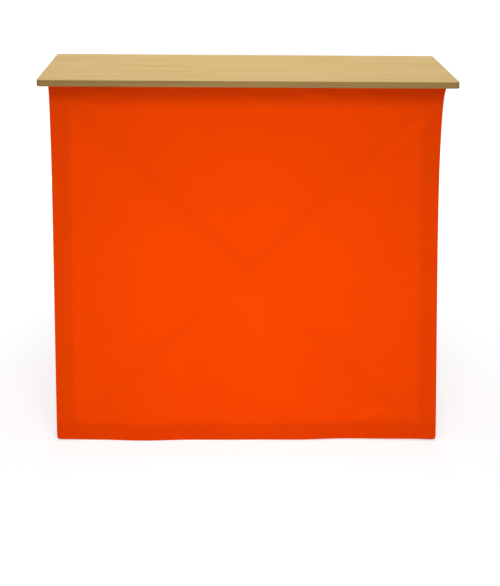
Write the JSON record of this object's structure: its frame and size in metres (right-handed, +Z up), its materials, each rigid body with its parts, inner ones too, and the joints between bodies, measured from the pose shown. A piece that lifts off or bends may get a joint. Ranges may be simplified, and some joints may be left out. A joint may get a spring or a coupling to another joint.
{
  "type": "folding portable bar",
  "caption": "Bar counter with a wooden board resting on crossed folding leg frames, and a cloth front that hangs from a batten under the board's front edge.",
  "frame": {"origin": "on the floor under the middle of the counter board", "axes": "+X along the counter to the guests' right as they face it, +Y from the guests to the server, +Z up"},
  "size_m": [1.2, 0.6, 1.1],
  "materials": {
    "beech_laminate": "satin laminate with straight grain",
    "edge_band": "satin edge band",
    "batten_wood": "planed and oiled",
    "leg_tube": "satin anodised",
    "cast_fitting": "tumbled casting",
    "steel": "zinc plated",
    "rubber": "matt moulded",
    "nylon": "fine moulded texture",
    "cloth": "plain weave",
    "touch_tape": "hook and loop pile"
  },
  "bodies": {
    "pivot": {"pivot_axle": "steel", "pivot_spreader": "leg_tube", "pivot_washer_front": "steel", "pivot_washer_rear": "steel", "pivot_cap_nut_front": "steel", "pivot_cap_nut_rear": "steel"},
    "outer_frame": {"outer_top_rail": "leg_tube", "outer_top_fitting_front": "cast_fitting", "outer_top_fitting_rear": "cast_fitting", "outer_foot_rail": "leg_tube", "outer_foot_fitting_front": "cast_fitting", "outer_foot_fitting_rear": "cast_fitting", "outer_leg_front": "leg_tube", "outer_bush_front": "nylon", "outer_rail_plug_front": "nylon", "outer_boot_front": "rubber", "outer_leg_rear": "leg_tube", "outer_bush_rear": "nylon", "outer_rail_plug_rear": "nylon", "outer_boot_rear": "rubber"},
    "inner_frame": {"inner_top_rail": "leg_tube", "inner_top_fitting_front": "cast_fitting", "inner_top_fitting_rear": "cast_fitting", "inner_foot_rail": "leg_tube", "inner_foot_fitting_front": "cast_fitting", "inner_foot_fitting_rear": "cast_fitting", "inner_leg_front": "leg_tube", "inner_bush_front": "nylon", "inner_rail_plug_front": "nylon", "inner_boot_front": "rubber", "inner_leg_rear": "leg_tube", "inner_bush_rear": "nylon", "inner_rail_plug_rear": "nylon", "inner_boot_rear": "rubber"},
    "counter": {"counter_board": "beech_laminate", "counter_edge_band": "edge_band", "cloth_batten": "batten_wood", "saddle_left_front": "nylon", "saddle_left_rear": "nylon", "saddle_right_front": "nylon", "saddle_right_rear": "nylon", "saddle_screw_1": "steel", "saddle_screw_2": "steel", "saddle_screw_3": "steel", "saddle_screw_4": "steel", "saddle_screw_5": "steel", "saddle_screw_6": "steel", "saddle_screw_7": "steel", "saddle_screw_8": "steel", "batten_bracket_1": "steel", "batten_bracket_2": "steel", "batten_bracket_3": "steel", "hook_tape": "touch_tape", "loop_tape": "touch_tape", "cloth_heading": "cloth"},
    "cloth_front": {"cloth_panel": "cloth"}
  },
  "joints": [
    {"name": "outer_frame_fold", "type": "hinge", "parent": "pivot", "child": "outer_frame", "pos_m": [0, 0, 0.53995], "axis": [0, 1, 0], "range_deg": [0, 44]},
    {"name": "inner_frame_fold", "type": "hinge", "parent": "pivot", "child": "inner_frame", "pos_m": [0, 0, 0.53995], "axis": [0, -1, 0], "range_deg": [0, 44]},
    {"name": "counter_lift", "type": "slide", "parent": "pivot", "child": "counter", "axis": [0, 0, 1], "range_m": [0, 0.461]},
    {"name": "cloth_swing", "type": "hinge", "parent": "counter", "child": "cloth_front", "pos_m": [0, -0.27, 1.03], "axis": [-1, 0, 0], "range_deg": [0, 70]}
  ],
  "couplings": [
    {"joint": "inner_frame_fold", "follows": "outer_frame_fold", "ratio": 1},
    {"joint": "counter_lift", "follows": "outer_frame_fold", "m_per_rad": 0.6}
  ]
}
